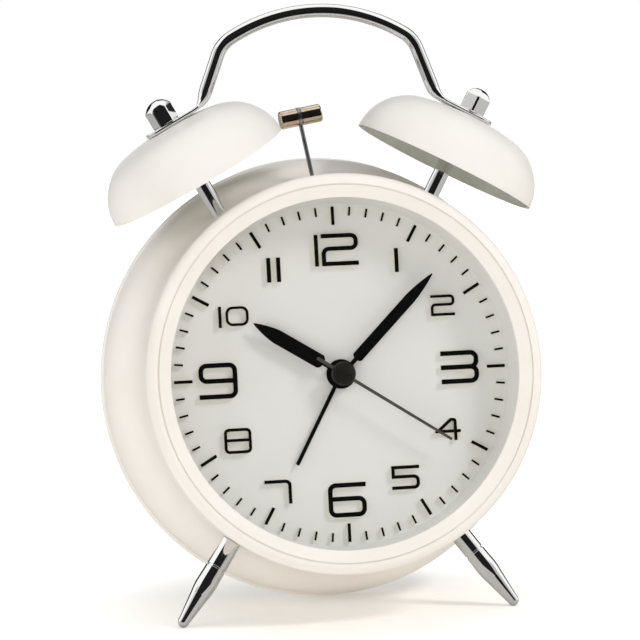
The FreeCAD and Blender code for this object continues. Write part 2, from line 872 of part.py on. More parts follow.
first_centre = coarse * (cannon_teeth + motion_teeth) / 2
setting_centre = coarse * (motion_teeth + setting_teeth) / 2
between = math.degrees(math.acos(
    (first_centre ** 2 + knob_distance ** 2 - setting_centre ** 2) / (2 * first_centre * knob_distance)
))
motion_angle = knob_angle + between
motion_x, motion_z = first_centre * cos(motion_angle), first_centre * sin(motion_angle)
knob_x, knob_z = knob_distance * cos(knob_angle), knob_distance * sin(knob_angle)
setting_angle = math.degrees(math.atan2(knob_z - motion_z, knob_x - motion_x))
motion_tooth = meshing(0, cannon_teeth, motion_teeth, motion_angle)
setting_tooth = meshing(motion_tooth, motion_teeth, setting_teeth, setting_angle)
hour_tooth = meshing(0, motion_pinion_teeth, hour_teeth, motion_angle + 180)
alarm_line = 180 - knob_angle
alarm_setting_tooth = meshing(0, alarm_teeth, alarm_setting_teeth, alarm_line)

second_radius = 0.45
minute_bore = second_radius + running_gap
minute_radius = 1.1
hour_bore = minute_radius + running_gap
hour_radius = 1.75
alarm_bore = hour_radius + running_gap
alarm_radius = 2.4
bush_bore = alarm_radius + running_gap
motion_pivot_radius = 0.7
stem_radius = 1.5
box_x = 29.0
box_low = -17.0
box_high = 22.0
box_seam = 17.0
box_side = 1.2
pivot_end_radius = 0.8


def movement_front_case():
    body = block(-box_x, box_x, movement_front, box_seam, box_low, box_high)
    inner_x, inner_low, inner_high = box_x - box_side, box_low + box_side, box_high - box_side
    body = body.cut(block(-inner_x, inner_x, movement_front + 1, 30, inner_low, inner_high))
    body = body.fuse(rod(3.6, 10.0, movement_front + 1.0))
    for x in (-1, 1):
        ear = block(x * 32 - 3.6, x * 32 + 3.6, ear_front, ear_back, boss_z - 3.5, boss_z + 3.5)
        body = body.fuse(ear).cut(rod(ear_screw_radius + 0.3, 10, 20, x * boss_x, boss_z))
    body = body.cut(rod(bush_bore, 5, 20))
    for x in (-knob_x, knob_x):
        body = body.cut(rod(pivot_end_radius + running_gap, 12, 14, x, knob_z))
    return stand(body.removeSplitter())


def movement_back_case():
    body = block(-box_x, box_x, box_seam, movement_back, box_low, box_high)
    inner_x, inner_low, inner_high = box_x - box_side, box_low + box_side, box_high - box_side
    body = body.cut(block(-inner_x, inner_x, 10, movement_back - 1.0, inner_low, inner_high))
    body = body.fuse(rod(2.0, 18.2, movement_back - 0.5, motion_x, motion_z))
    body = body.cut(rod(second_radius + running_gap, 20, 24))
    body = body.cut(rod(motion_pivot_radius + running_gap, 18, 24, motion_x, motion_z))
    for x in (-knob_x, knob_x):
        body = body.cut(rod(stem_radius + running_gap, 20, 24, x, knob_z))
    for x in (-stand_off_x, stand_off_x):
        body = body.cut(rod(1.0, 20, 24, x, stand_off_z))
    return stand(body)


def movement_screws():
    return group([
        stand(pan_screw(ear_screw_radius, 2.0, 12.0, ear_back, x, boss_z)) for x in (-boss_x, boss_x)
    ])


def movement_circuit():
    board = block(-27, -1.5, 20.3, 20.9, -15, 20)
    for x, z, radius in ((0, 0, 3.0), (-knob_x, knob_z, 2.4), (-stand_off_x, stand_off_z, 1.6)):
        board = board.cut(rod(radius, 18, 24, x, z))
    return stand(board)


def stepper_coil():
    core = block(-26.5, -12.5, 15.6, 17.4, 15.8, 17.6)
    winding = Part.makeCylinder(2.1, 9, Vector(-24, 16.5, 16.7), x_axis)
    flanges = [block(x, x + 0.8, 13.9, 19.1, 14.4, 19.0) for x in (-24.8, -15.0)]
    return stand(joined([core, winding] + flanges))


def second_arbor():
    gear = wheel(60, 0.23, 19.3, 19.9).fuse(rod(second_radius, second_depth - 0.6, 21.9))
    return stand(gear)


def minute_arbor():
    body = joined([
        rod(minute_radius, minute_depth, 18.9),
        wheel(cannon_teeth, coarse, 16.6, 17.9),
        wheel(48, 0.34, 18.3, 18.9),
    ])
    return stand(body.cut(rod(minute_bore, 0, 30)))


def motion_wheel():
    return stand(joined([
        wheel(motion_teeth, coarse, 16.8, 17.6, motion_x, motion_z, motion_tooth),
        wheel(motion_pinion_teeth, fine, 14.9, 16.8, motion_x, motion_z, motion_angle + 180),
        rod(motion_pivot_radius, 16.0, 22.1, motion_x, motion_z),
    ]))


def hour_wheel():
    body = joined([
        rod(hour_radius, hour_depth, 15.9),
        wheel(hour_teeth, fine, 15.1, 15.9, 0, 0, hour_tooth_angle()),
    ])
    return stand(body.cut(rod(hour_bore, 0, 30)))


# The hour wheel meets the motion pinion along the line back from the centre to the pinion
def hour_tooth_angle():
    return meshing(motion_angle + 180, motion_pinion_teeth, hour_teeth, motion_angle + 180)


def alarm_wheel():
    body = joined([rod(alarm_radius, alarm_depth, 14.6), wheel(alarm_teeth, coarse, 13.8, 14.6)])
    return stand(body.cut(rod(alarm_bore, 0, 30)))


def knob(x, z, gear_solid):
    edge = 0.9
    blank = turned(
        (0, knob_front),
        (knob_radius, knob_front),
        (knob_radius, knob_back - edge + 0.1),
        (knob_radius - edge, knob_back),
        (0, knob_back),
    )
    blank.translate(Vector(x, 0, z))
    ridges = 44
    grip = wheel(ridges, knob_radius / (ridges / 2 + 0.6), knob_front, knob_back, x, z).common(blank)
    pointer = block(x - 0.5, x + 0.5, knob_back - 0.4, knob_back + 0.2, z + 2.2, z + 6.4)
    stem = rod(stem_radius, 13.5, knob_front + 0.5, x, z)
    pivot = rod(pivot_end_radius, 12.5, 13.6, x, z)
    return stand(joined([grip, stem, pivot, gear_solid]).cut(pointer))


def time_set_knob():
    return knob(knob_x, knob_z, wheel(setting_teeth, coarse, 16.7, 17.9, knob_x, knob_z, setting_tooth))


def alarm_set_knob():
    gear = wheel(alarm_setting_teeth, coarse, 13.7, 14.8, -knob_x, knob_z, alarm_setting_tooth)
    return knob(-knob_x, knob_z, gear)


# Hands: each is a flat blade pointing to 12, then turned to its time
def hand(depth, hub, bore, outline, angle):
    blade_solid = sheet_metal(depth - blade, depth, *outline)
    body = joined([blade_solid, rod(hub, depth - blade, depth)])
    return stand(turn_on_dial(body.cut(rod(bore, 0, 30)), angle))


# A parallel blade with a round root on a thin neck, and a slightly full taper to its tip
def spear(width, neck, root, taper, length):
    half, thin = width / 2, neck / 2
    corner = half - thin
    inset = corner * (1 - cos(45))
    lean_in = half - tip_half
    rise_out = length - taper
    side = math.hypot(lean_in, rise_out)
    full_x = (half + tip_half) / 2 + taper_fullness * rise_out / side
    full_y = (taper + length) / 2 + taper_fullness * lean_in / side
    return (
        (-thin, 0),
        (-thin, root),
        ((-half + inset, root + inset), (-half, root + corner)),
        (-half, taper),
        ((-full_x, full_y), (-tip_half, length)),
        (tip_half, length),
        ((full_x, full_y), (half, taper)),
        (half, root + corner),
        ((half - inset, root + inset), (thin, root)),
        (thin, 0),
    )


def alarm_hand():
    outline = ((-0.52, 0), (-0.48, 26.6), (0.48, 26.6), (0.52, 0))
    return hand(alarm_depth, 3.9, alarm_radius, outline, alarm_angle)


def hour_hand():
    return hand(hour_depth, 3.2, hour_radius, spear(3.75, 1.2, 5.7, 20.0, 26.8), hour_angle)


def minute_hand():
    return hand(minute_depth, 2.9, minute_radius, spear(2.9, 1.1, 5.3, 26.9, 35.7), minute_angle)


def second_hand():
    outline = (
        (-0.44, 0),
        (-0.36, second_length),
        (0.36, second_length),
        (0.44, 0),
        (0.42, -second_tail),
        ((0, -second_tail - 0.42), (-0.42, -second_tail)),
    )
    return hand(second_depth, 2.6, second_radius, outline, second_angle)


def centre_cap():
    back = second_depth - blade
    dish = cap_radius - cap_bevel
    shoulder = back - cap_side - cap_bevel
    ball = (dish ** 2 + cap_rise ** 2) / (2 * cap_rise)
    half = math.degrees(math.asin(dish / ball)) / 2
    front = shoulder - cap_rise
    dome = turned(
        (0, back),
        (cap_radius, back),
        (cap_radius, back - cap_side),
        (dish, shoulder),
        ((ball * sin(half), front + ball - ball * cos(half)), (0, front)),
    )
    return stand(dome.cut(rod(second_radius, back - 0.4, back + 1)))


# Rear cover with its cell box
box_inner_x = 28.3
box_inner_low = -40.2
box_inner_high = -10.2
box_wall = 1.0
box_floor = 23.9
door_ledge = 0.7
door_front = 38.7


def rear_cover():
    plate = rod(cover_radius, cover_front, cover_back)
    rim = tube(cover_radius, cover_radius - 1.4, cover_back, cover_back + 3.0)
    cell_box = block(
        -box_inner_x - box_wall, box_inner_x + box_wall, box_floor - box_wall, cover_front,
        box_inner_low - box_wall, box_inner_high + box_wall,
    )
    body = joined([plate, rim, cell_box])
    body = body.cut(block(-box_inner_x, box_inner_x, box_floor, 50, box_inner_low, box_inner_high))
    body = body.cut(block(
        -box_inner_x - door_ledge, box_inner_x + door_ledge, door_front - 0.05, 50,
        box_inner_low - door_ledge, box_inner_high + door_ledge,
    ))
    for angle in cover_screw_angles:
        body = body.cut(turn_on_dial(rod(cover_screw_radius + 0.15, 30, 50, 0, cover_screw_ring), angle))
    for x in (-knob_x, knob_x):
        body = body.cut(rod(stem_radius + 0.3, 30, 50, x, knob_z))
        body = body.cut(rod(knob_radius + 0.8, cover_back - 0.6, 50, x, knob_z))
    body = body.cut(rod(3.5, 30, 50, light_x, control_z))
    body = body.cut(block(switch_x - 4.2, switch_x + 4.2, 30, 50, control_z - 1.7, control_z + 1.7))
    for x, z in board_pillars:
        body = body.fuse(rod(1.6, 32.0, cover_front, x, z))
    return stand(body.removeSplitter())


board_pillars = ((15.5, 34.5), (28.5, 21.5), (-15.5, 34.5), (-28.5, 21.5))


def rear_cover_screws():
    screw = pan_screw(cover_screw_radius, 2.7, 35.6, cover_back, 0, cover_screw_ring)
    return group([stand(turn_on_dial(screw, angle)) for angle in cover_screw_angles])


def battery_door():
    reach = door_ledge - 0.15
    body = block(
        -box_inner_x - reach, box_inner_x + reach, door_front, cover_back,
        box_inner_low - reach, box_inner_high + reach,
    )
    body = body.fuse(block(-7, 7, cover_back, cover_back + 1.0, box_inner_high - 4.4, box_inner_high - 1.2))
    for k in range(4):
        z = box_inner_high - 3.9 + 0.7 * k
        body = body.cut(block(-6.4, 6.4, cover_back + 0.7, cover_back + 2, z, z + 0.3))
    return stand(body.removeSplitter())


# Each cell's button rests on its tab, which leaves a spring's room at its flat end
button_length = 1.3
cell_button_end = box_inner_x - tab_plate - button_length
cell_flat_end = cell_button_end - cell_length


def battery_cells():
    cells = []
    for z, side in ((cell_low_z, 1), (cell_high_z, -1)):
        body = Part.makeCylinder(cell_radius, cell_length, Vector(cell_flat_end, cell_depth, z), x_axis)
        button = Part.makeCylinder(2.7, button_length, Vector(cell_button_end, cell_depth, z), x_axis)
        cell = body.fuse(button)
        cells.append(stand(cell if side > 0 else mirrored(cell)))
    return group(cells)


# A leaf spring bows out from its plate to the cell's flat end
def battery_springs():
    springs = []
    for z, side in ((cell_low_z, -1), (cell_high_z, 1)):
        plate = block(-box_inner_x, -box_inner_x + tab_plate, cell_depth - 5, cell_depth + 5, z - 5, z + 5)
        root = -box_inner_x + tab_plate / 2
        bow = sheet_metal(
            cell_depth - 2.5,
            cell_depth + 2.5,
            (root, z - 4.6),
            ((cell_flat_end - 0.05, z), (root, z + 4.6)),
            (root, z + 4.6 - leaf_thickness),
            ((cell_flat_end - 0.05 - leaf_thickness, z), (root, z - 4.6 + leaf_thickness)),
        )
        spring = joined([plate, bow])
        springs.append(stand(spring if side < 0 else mirrored(spring)))
    return group(springs)


def battery_tabs():
    tabs = []
    for z, side in ((cell_low_z, 1), (cell_high_z, -1)):
        low, high = sorted((side * (box_inner_x - tab_plate), side * box_inner_x))
        tabs.append(stand(block(low, high, cell_depth - 5, cell_depth + 5, z - 5, z + 5)))
    return group(tabs)


def switch_boards():
    boards = []
    for x, solid in (
        (light_x, block(light_x - 3, light_x + 3, 32, 34.6, control_z - 3, control_z + 3)),
        (switch_x, block(switch_x - 6, switch_x + 6, 32, 36.4, control_z - 2.6, control_z + 2.6)),
    ):
        board = block(x - 8.5, x + 8.5, 30.8, 32.0, control_z - 8.5, control_z + 8.5)
        boards.append(joined([board, solid]))
    plunger = rod(1.6, 34.6, plunger_end, light_x, control_z)
    boards[0] = joined([boards[0], plunger])
    return group([stand(board) for board in boards])


def light_button():
    cap = rod(3.4, 37.0, 41.4, light_x, control_z)
    flange = rod(4.4, 36.9, 37.9, light_x, control_z)
    stem = rod(1.2, plunger_end + light_travel + 0.1, 37.0, light_x, control_z)
    return stand(joined([cap, flange, stem]))


switch_travel = 3.6


def alarm_switch():
    x = switch_x - switch_travel / 2
    grip = block(x - 1.8, x + 1.8, 37.4, 41.4, control_z - 1.5, control_z + 1.5)
    for k in (-1, 0, 1):
        grip = grip.cut(block(x + k - 0.2, x + k + 0.2, 41.0, 42, control_z - 2, control_z + 2))
    plate = block(x - 4.4, x + 4.4, 36.8, 37.6, control_z - 2.4, control_z + 2.4)
    return stand(joined([grip, plate]))


def both(name, shape):
    parts["right_" + name] = shape
    parts["left_" + name] = mirrored(shape)


def build():
    parts["case_shell"] = case_shell()
    parts["cover_lugs"] = cover_lugs()
    parts["bezel_ring"] = bezel_ring()
    parts["dial_lens"] = dial_lens()
    parts["dial_surround"] = dial_surround()
    parts["backlight_leds"] = backlight_leds()
    parts["dial_plate"] = dial_plate()
    parts["dial_retaining_ring"] = dial_retaining_ring()
    top = dial_front - marker_height
    parts["hour_numerals"] = numerals(top, dial_front)
    parts["numeral_faces"] = numerals(top - ink_thickness, top)
    parts["minute_markers"] = markers(top, dial_front)
    parts["marker_faces"] = markers(top - ink_thickness, top)
    both("bell", bell())
    both("bell_post", bell_post())
    both("dome_nut", dome_nut())
    parts["post_lock_nuts"] = group([post_lock_nut(), mirrored(post_lock_nut())])
    parts["carry_handle"] = carry_handle()
    both("foot", foot())
    parts["foot_lock_nuts"] = group([foot_lock_nut(), mirrored(foot_lock_nut())])
    parts["hammer_head"] = hammer_head()
    parts["hammer_arm"] = hammer_arm()
    parts["hammer_rocker"] = hammer_rocker()
    parts["hammer_pivot_pin"] = hammer_pivot_pin()
    parts["striker_bracket"] = striker_bracket()
    parts["bracket_spacers"] = bracket_spacers()
    parts["bracket_screws"] = bracket_screws()
    parts["striker_motor"] = striker_motor()
    parts["motor_shaft"] = motor_shaft()
    parts["motor_cam"] = motor_cam()
    parts["movement_front_case"] = movement_front_case()
    parts["movement_back_case"] = movement_back_case()
    parts["movement_screws"] = movement_screws()
    parts["movement_circuit"] = movement_circuit()
    parts["stepper_coil"] = stepper_coil()
    parts["second_arbor"] = second_arbor()
    parts["minute_arbor"] = minute_arbor()
    parts["motion_wheel"] = motion_wheel()
    parts["hour_wheel"] = hour_wheel()
    parts["alarm_wheel"] = alarm_wheel()
    parts["time_set_knob"] = time_set_knob()
    parts["alarm_set_knob"] = alarm_set_knob()
    parts["alarm_hand"] = alarm_hand()
    parts["hour_hand"] = hour_hand()
    parts["minute_hand"] = minute_hand()
    parts["second_hand"] = second_hand()
    parts["centre_cap"] = centre_cap()
    parts["rear_cover"] = rear_cover()
    parts["rear_cover_screws"] = rear_cover_screws()
    parts["battery_door"] = battery_door()
    parts["battery_cells"] = battery_cells()
    parts["battery_springs"] = battery_springs()
    parts["battery_tabs"] = battery_tabs()
    parts["switch_boards"] = switch_boards()
    parts["light_button"] = light_button()
    parts["alarm_switch"] = alarm_switch()
    points["centre"] = stand_point(0, 0, 0)
    points["hammer_pivot"] = stand_point(0, hammer_depth, pivot_z)
    points["motor"] = stand_point(motor_x, hammer_depth, cam_z)
    points["motion"] = stand_point(motion_x, 17, motion_z)
    points["time_knob"] = stand_point(knob_x, 44, knob_z)
    points["alarm_knob"] = stand_point(-knob_x, 44, knob_z)
    points["rim_face"] = stand_point(58.4, rim_depth, 0)
    points["bell"] = Vector(bell_centre_x, bell_plane, bell_centre_z)


# The lowest and highest corners of the drawn surfaces
def surface_box(shapes):
    low = [1e9] * 3
    high = [-1e9] * 3
    for shape in shapes:
        for vertex in shape.tessellate(0.02)[0]:
            for axis in range(3):
                low[axis] = min(low[axis], vertex[axis])
                high[axis] = max(high[axis], vertex[axis])
    return low, high


build()
outer = ("case_shell", "bezel_ring", "left_bell", "right_bell", "carry_handle", "left_foot", "right_foot")
low, high = surface_box([parts[name] for name in outer])
move = Vector(0, -(low[1] + high[1]) / 2, -low[2])

os.makedirs("parts", exist_ok=True)
for name, shape in parts.items():
    shape.translate(move)
    shape.exportStep("parts/" + name + ".step")

print("nodes", len(parts), "lean", round(lean, 3))
print("size", [round(high[axis] - low[axis], 2) for axis in range(3)])
for name, point in points.items():
    place = point + move
    print("point", name, round(place.x, 4), round(place.y, 4), round(place.z, 4))
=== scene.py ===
# White twin-bell alarm clock: camera, light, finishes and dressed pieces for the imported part
import json
import math

import bmesh
import bpy
from mathutils import Matrix, Vector


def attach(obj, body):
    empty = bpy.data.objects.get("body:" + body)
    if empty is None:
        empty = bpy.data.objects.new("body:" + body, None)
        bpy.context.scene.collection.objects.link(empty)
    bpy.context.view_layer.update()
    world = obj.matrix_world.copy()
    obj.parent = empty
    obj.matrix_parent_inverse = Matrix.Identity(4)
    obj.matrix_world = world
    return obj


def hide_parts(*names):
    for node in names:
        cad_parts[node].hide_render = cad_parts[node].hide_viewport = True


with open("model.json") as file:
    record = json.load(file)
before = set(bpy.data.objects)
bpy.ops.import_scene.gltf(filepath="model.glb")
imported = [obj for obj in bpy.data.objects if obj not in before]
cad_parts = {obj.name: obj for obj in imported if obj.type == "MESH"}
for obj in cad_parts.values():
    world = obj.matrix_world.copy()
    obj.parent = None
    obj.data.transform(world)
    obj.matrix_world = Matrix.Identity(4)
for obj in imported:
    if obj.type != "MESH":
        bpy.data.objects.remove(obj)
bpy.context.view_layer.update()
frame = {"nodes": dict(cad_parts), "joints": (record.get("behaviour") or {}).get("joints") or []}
nodes = frame["nodes"]
scene = bpy.context.scene
print("clock: frame loaded with", len(nodes), "nodes")

# Where the drum is: the minute hand turns about its middle, and its axis leans back with it
minuteTurn = next(joint for joint in frame["joints"] if joint["name"] == "minute_turn")
drumCentre = Vector(minuteTurn["pos_m"])
drumBack = Vector(minuteTurn["axis"]).normalized()
drumUp = Vector((1, 0, 0)).cross(drumBack)


def drumPoint(x, y, z):
    # drum sizes in mm: x right, y from dial to back, z up along the dial
    return drumCentre + (Vector((x, 0, 0)) + drumBack * y + drumUp * z) / 1000


def drumWay(x, y, z):
    return (drumPoint(x, y, z) - drumPoint(0, 0, 0)).normalized()


# Camera: the photo's place with a long lens, a little higher than the bells and looking slightly down
shot = {
    "place": (-123.0, -717.7, -5.5),
    "ahead": (0.1604, 0.9867, 0.0271),
    "above": (0.0484, -0.0353, 0.9981),
    "lens": 157.5,
    "sensor": 36,
    "near": 0.05,
}
cameraData = bpy.data.cameras.new("photoCamera")
cameraData.lens = shot["lens"]
cameraData.sensor_width = shot["sensor"]
cameraData.clip_start = shot["near"]
camera = bpy.data.objects.new("photoCamera", cameraData)
scene.collection.objects.link(camera)
ahead = drumWay(*shot["ahead"])
right = ahead.cross(drumWay(*shot["above"])).normalized()
above = right.cross(ahead)
turn = Matrix((right, above, -ahead)).transposed().to_4x4()
camera.matrix_world = Matrix.Translation(drumPoint(*shot["place"])) @ turn
scene.camera = camera
scene.view_settings.view_transform = "Standard"
print("clock: camera set")


# Shader maths: a socket that adds Math nodes when it is used in an expression
class Sock:
    def __init__(self, book, socket):
        self.book = book
        self.socket = socket

    def maths(self, operation, other=None, swap=False):
        first, second = (other, self) if swap else (self, other)
        values = {0: first} if second is None else {0: first, 1: second}
        return self.book.node("ShaderNodeMath", {"operation": operation}, values)

    def __add__(self, other):
        return self.maths("ADD", other)

    def __radd__(self, other):
        return self.maths("ADD", other, True)

    def __sub__(self, other):
        return self.maths("SUBTRACT", other)

    def __rsub__(self, other):
        return self.maths("SUBTRACT", other, True)

    def __mul__(self, other):
        return self.maths("MULTIPLY", other)

    def __rmul__(self, other):
        return self.maths("MULTIPLY", other, True)

    def clamped(self):
        return self.book.node("ShaderNodeClamp", {}, {"Value": self, "Min": 0.0, "Max": 1.0})


class Nodes:
    # one node tree: node() adds any node from its type, settings and inputs
    def __init__(self, owner, kind):
        owner.use_nodes = True
        self.tree = owner.node_tree
        self.tree.nodes.clear()
        self.output = self.tree.nodes.new(kind)

    def node(self, kind, settings, inputs, output=0):
        made = self.tree.nodes.new(kind)
        for key, value in settings.items():
            setattr(made, key, value)
        for key, value in inputs.items():
            if isinstance(value, Sock):
                self.tree.links.new(value.socket, made.inputs[key])
            else:
                made.inputs[key].default_value = value
        return Sock(self, made.outputs[output])

    def shows(self, shader):
        self.tree.links.new(shader.socket, self.output.inputs["Surface"])

    def place(self):
        return self.node("ShaderNodeTexCoord", {}, {}, "Object")

    def noise(self, scale, detail=2.0, rough=0.5):
        inputs = {"Vector": self.place(), "Scale": scale, "Detail": detail, "Roughness": rough}
        return self.node("ShaderNodeTexNoise", {}, inputs, "Fac")

    def band(self, value, low, high):
        # value from low to high, as 0 to 1
        settings = {"interpolation_type": "SMOOTHSTEP"}
        inputs = {"Value": value, "From Min": low, "From Max": high}
        return self.node("ShaderNodeMapRange", settings, inputs)

    def mixColour(self, factor, first, second):
        return self.node("ShaderNodeMix", {"data_type": "RGBA"}, {0: factor, 6: first, 7: second}, 2)

    def bump(self, height, distance, strength):
        inputs = {"Height": height, "Distance": distance, "Strength": strength}
        return self.node("ShaderNodeBump", {}, inputs, "Normal")


class Finish(Nodes):
    # the nodes of one material
    def __init__(self, name):
        self.material = bpy.data.materials.new(name)
        super().__init__(self.material, "ShaderNodeOutputMaterial")

    def surface(self, **inputs):
        named = {key.replace("_", " "): value for key, value in inputs.items()}
        self.shows(self.node("ShaderNodeBsdfPrincipled", {}, named, "BSDF"))
        return self.material


def rgb(red, green, blue):
    # a colour as seen on screen, 0 to 255, turned linear
    def linear(value):
        value = value / 255
        return value / 12.92 if value <= 0.04045 else ((value + 0.055) / 1.055) ** 2.4
    return (linear(red), linear(green), linear(blue), 1.0)


# Baked enamel: a hint of orange peel, faint cloudiness and a few duller patches; the bells are greyer
enamel = {"colour": (250, 245, 240), "shade": (246, 240, 233), "roughness": 0.42,
          "peel": 0.00003, "shine": 0.3}
bellEnamel = {"colour": (246, 243, 239), "shade": (241, 238, 233), "roughness": 0.4,
              "peel": 0.00003, "shine": 0.3}


def bakedEnamel(name, coat):
    f = Finish(name)
    cloud = f.noise(38, 3, 0.55)
    peel = f.noise(900, 2, 0.5)
    fine = f.noise(4200, 2, 0.6)
    colour = f.mixColour(f.band(cloud, 0.35, 0.7), rgb(*coat["colour"]), rgb(*coat["shade"]))
    roughness = coat["roughness"] + (cloud - 0.5) * 0.12 + (fine - 0.5) * 0.05
    normal = f.bump(peel + fine * 0.25, coat["peel"], 0.35)
    return f.surface(Base_Color=colour, Roughness=roughness, Normal=normal, Specular_IOR_Level=coat["shine"])


# Plated posts, nuts, handle and feet: bright chrome with fine handling marks
plate = {"colour": (236, 236, 235), "roughness": 0.05}


def brightChrome():
    f = Finish("brightChrome")
    haze = f.noise(260, 3, 0.6)
    scratches = {"Vector": f.place(), "Scale": 1500.0, "Detail": 4.0, "Distortion": 1.2}
    marks = f.node("ShaderNodeTexNoise", {}, scratches, "Fac")
    roughness = plate["roughness"] + f.band(haze, 0.5, 0.75) * 0.07 + f.band(marks, 0.6, 0.8) * 0.06
    return f.surface(Base_Color=rgb(*plate["colour"]), Metallic=1.0, Roughness=roughness,
                     Normal=f.bump(marks, 0.00001, 0.1))


# Dial and funnel: matte white, printed card under the raised bars
dial = {"colour": (238, 238, 235), "shade": (234, 233, 230), "roughness": 0.7, "shine": 0.2}


def dialWhite():
    f = Finish("dialWhite")
    cloud = f.noise(22, 3, 0.5)
    grain = f.noise(2600, 3, 0.6)
    colour = f.mixColour(f.band(cloud, 0.35, 0.7), rgb(*dial["colour"]), rgb(*dial["shade"]))
    roughness = dial["roughness"] + (grain - 0.5) * 0.12
    return f.surface(Base_Color=colour, Roughness=roughness, Normal=f.bump(grain, 0.00002, 0.3),
                     Specular_IOR_Level=dial["shine"])


# Black paint: nearly dead matte on the numerals and flat hands, satin on the cap, duller on the second hand
ink = {"colour": (9, 9, 9), "dust": (24, 23, 22), "roughness": 0.6, "shine": 0.08, "metal": 0.0}
satin = {"colour": (64, 60, 56), "dust": (78, 74, 69), "roughness": 0.26, "shine": 0.5, "metal": 0.7}
thinHand = {"colour": (80, 76, 71), "dust": (66, 63, 59), "roughness": 0.42, "shine": 0.4, "metal": 0.0}


def blackPaint(name, paint):
    f = Finish(name)
    grain = f.noise(3200, 3, 0.6)
    cloud = f.noise(120, 2, 0.5)
    colour = f.mixColour(f.band(grain, 0.55, 0.8) * 0.6, rgb(*paint["colour"]), rgb(*paint["dust"]))
    roughness = paint["roughness"] + (cloud - 0.5) * 0.2
    return f.surface(Base_Color=colour, Roughness=roughness, Normal=f.bump(grain, 0.00001, 0.25),
                     Specular_IOR_Level=paint["shine"], Metallic=paint["metal"])


# Window: nearly clear, with faint smears
window = {"tint": (30, 32, 32), "alpha": 0.035, "roughness": 0.03, "ior": 1.49}


def windowGlass():
    f = Finish("windowGlass")
    smear = f.noise(60, 2, 0.5)
    roughness = window["roughness"] + f.band(smear, 0.5, 0.8) * 0.05
    return f.surface(Base_Color=rgb(*window["tint"]), Roughness=roughness, Alpha=window["alpha"],
                     IOR=window["ior"])


# Hammer head: warm dull nickel, turned
hammer = {"colour": (214, 196, 172), "dark": (178, 160, 136), "roughness": 0.13}


def hammerNickel():
    f = Finish("hammerNickel")
    haze = f.noise(420, 4, 0.6)
    turned = f.noise(2400, 2, 0.5)
    colour = f.mixColour(f.band(haze, 0.45, 0.75), rgb(*hammer["colour"]), rgb(*hammer["dark"]))
    roughness = hammer["roughness"] + (turned - 0.5) * 0.1
    return f.surface(Base_Color=colour, Metallic=1.0, Roughness=roughness, Normal=f.bump(turned, 0.00001, 0.3))


# Zinc-plated steel of the arm, brackets and screws
steel = {"colour": (172, 174, 177), "dark": (140, 143, 148), "roughness": 0.34}


def zincSteel():
    f = Finish("zincSteel")
    haze = f.noise(160, 4, 0.6)
    fine = f.noise(2600, 2, 0.6)
    colour = f.mixColour(f.band(haze, 0.4, 0.7), rgb(*steel["colour"]), rgb(*steel["dark"]))
    return f.surface(Base_Color=colour, Metallic=1.0, Roughness=steel["roughness"] + (fine - 0.5) * 0.2,
                     Normal=f.bump(fine, 0.00001, 0.3))


# Moulded plastic: a fine spark-eroded grain under a slight cloudiness
cover = {"colour": (226, 222, 214), "shade": (217, 212, 202), "roughness": 0.5,
         "grain": 1800.0, "depth": 0.00003}
acetal = {"colour": (228, 226, 216), "shade": (216, 213, 202), "roughness": 0.42,
          "grain": 1800.0, "depth": 0.00003}
black = {"colour": (38, 39, 41), "shade": (28, 29, 31), "roughness": 0.45,
         "grain": 1800.0, "depth": 0.00003}
sleeve = {"colour": (62, 66, 72), "shade": (52, 56, 62), "roughness": 0.3,
          "grain": 900.0, "depth": 0.00001}
epoxy = {"colour": (240, 238, 226), "shade": (232, 230, 214), "roughness": 0.18,
         "grain": 700.0, "depth": 0.00001}
marker = {"colour": (232, 228, 210), "shade": (224, 219, 198), "roughness": 0.5,
          "grain": 1800.0, "depth": 0.00003}


def moulded(name, plastic):
    f = Finish(name)
    cloud = f.noise(45, 2, 0.5)
    grain = f.noise(plastic["grain"], 3, 0.65)
    colour = f.mixColour(f.band(cloud, 0.35, 0.7), rgb(*plastic["colour"]), rgb(*plastic["shade"]))
    return f.surface(Base_Color=colour, Roughness=plastic["roughness"] + (grain - 0.5) * 0.16,
                     Normal=f.bump(grain, plastic["depth"], 0.4))


# Circuit boards: solder mask over a grid of tracks
board = {"mask": (31, 96, 58), "maskDark": (26, 84, 50), "track": (54, 128, 78), "tracks": 210.0,
         "trackWidth": 0.03, "roughness": 0.34}


def circuitGreen():
    f = Finish("circuitGreen")
    tracks = f.node("ShaderNodeTexBrick", {"offset": 0.5}, {
        "Vector": f.place(), "Scale": board["tracks"], "Mortar Size": board["trackWidth"],
        "Color1": rgb(*board["mask"]), "Color2": rgb(*board["maskDark"]), "Mortar": rgb(*board["track"])}, "Color")
    return f.surface(Base_Color=tracks, Roughness=board["roughness"] + (f.noise(900) - 0.5) * 0.1)


# Coil: varnished copper, striped by its turns
coil = {"colour": (190, 112, 62), "gap": (120, 62, 30), "turns": 950.0, "roughness": 0.3, "depth": 0.00005}


def coilCopper():
    f = Finish("coilCopper")
    stripes = {"Vector": f.place(), "Scale": coil["turns"]}
    turns = f.node("ShaderNodeTexWave", {"bands_direction": "X"}, stripes, "Fac")
    colour = f.mixColour(turns, rgb(*coil["colour"]), rgb(*coil["gap"]))
    return f.surface(Base_Color=colour, Metallic=1.0, Roughness=coil["roughness"] + turns * 0.1,
                     Normal=f.bump(turns, coil["depth"], 0.5))


